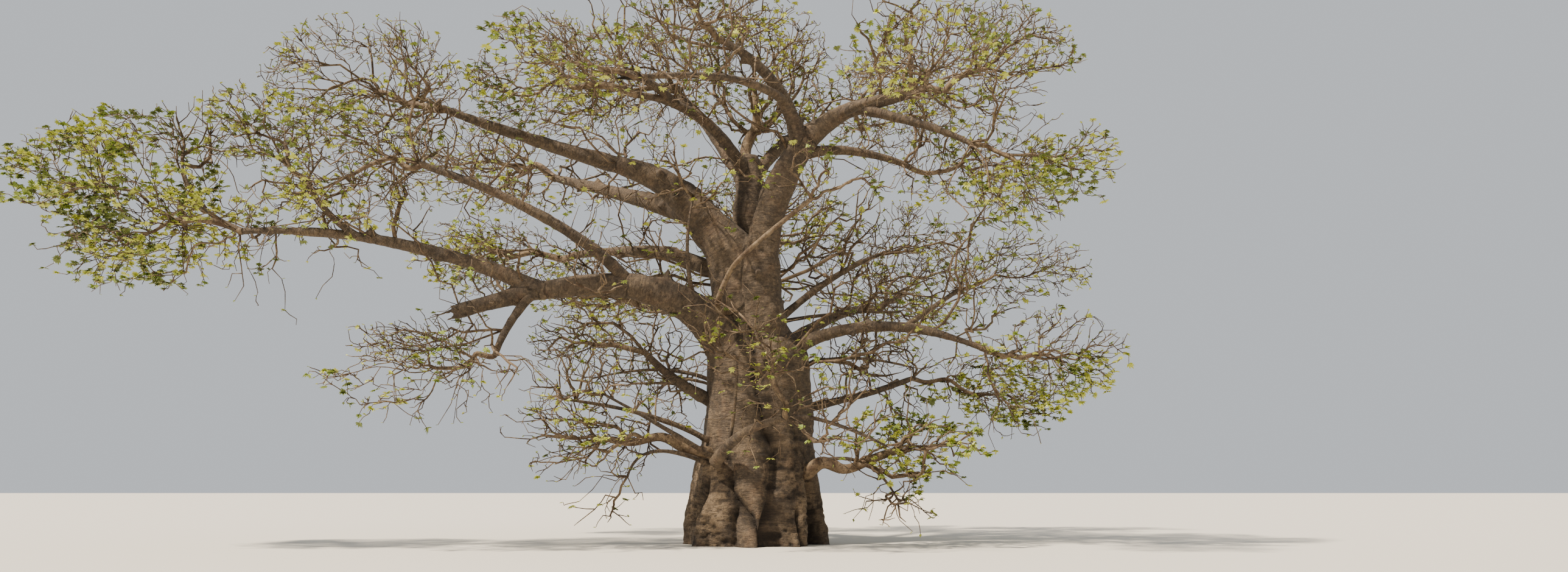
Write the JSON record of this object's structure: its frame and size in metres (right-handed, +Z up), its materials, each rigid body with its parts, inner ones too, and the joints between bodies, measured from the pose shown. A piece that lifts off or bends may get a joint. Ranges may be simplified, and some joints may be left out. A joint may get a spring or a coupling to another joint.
{
  "type": "baobab tree",
  "caption": "Old spreading baobab at the start of its leafing season: swollen fluted trunk, long boughs at several heights and open masses of twigs with few leaves.",
  "frame": {"origin": "middle of the flat cut under the trunk, at ground level", "axes": "+Z up; +X towards the short side of the crown, so the longest bough runs towards -X; -Y is the side seen in the picture"},
  "size_m": [28.4768, 16.9731, 15.8691],
  "materials": {
    "bark": "rough",
    "foliage": "matte"
  },
  "bodies": {
    "root": {"trunk": "bark", "bough_back_left": "bark", "bough_back_mid": "bark", "bough_back_right": "bark", "bough_column_mid": "bark", "bough_column_right": "bark", "bough_front_cross": "bark", "bough_front_left": "bark", "bough_front_right": "bark", "bough_left_back": "bark", "bough_left_hanger": "bark", "bough_left_inner": "bark", "bough_left_long": "bark", "bough_left_main": "bark", "bough_left_mid": "bark", "bough_left_riser": "bark", "bough_left_stub": "bark", "bough_left_top": "bark", "bough_low_left_over": "bark", "bough_low_left_rise": "bark", "bough_right_long": "bark", "bough_right_low": "bark", "bough_right_mid": "bark", "bough_right_riser": "bark", "bough_right_skirt": "bark", "bough_right_top": "bark", "bough_right_up": "bark", "bough_top_back": "bark", "bough_top_front": "bark", "bough_top_left": "bark", "bough_top_left_back": "bark", "mass_back_left": "foliage", "mass_back_mid": "foliage", "mass_back_right": "foliage", "mass_far_left": "foliage", "mass_fork_front": "foliage", "mass_front_cross": "foliage", "mass_front_left": "foliage", "mass_front_right": "foliage", "mass_left_back": "foliage", "mass_left_foot": "foliage", "mass_left_hanger": "foliage", "mass_left_inner": "foliage", "mass_left_mid": "foliage", "mass_left_riser": "foliage", "mass_left_stub": "foliage", "mass_left_top": "foliage", "mass_right_foot": "foliage", "mass_right_long": "foliage", "mass_right_low": "foliage", "mass_right_mid": "foliage", "mass_right_riser": "foliage", "mass_right_skirt": "foliage", "mass_right_top": "foliage", "mass_right_up": "foliage", "mass_top_back": "foliage", "mass_top_front": "foliage", "mass_top_left": "foliage", "mass_top_left_back": "foliage", "mass_top_mid": "foliage"}
  },
  "joints": []
}
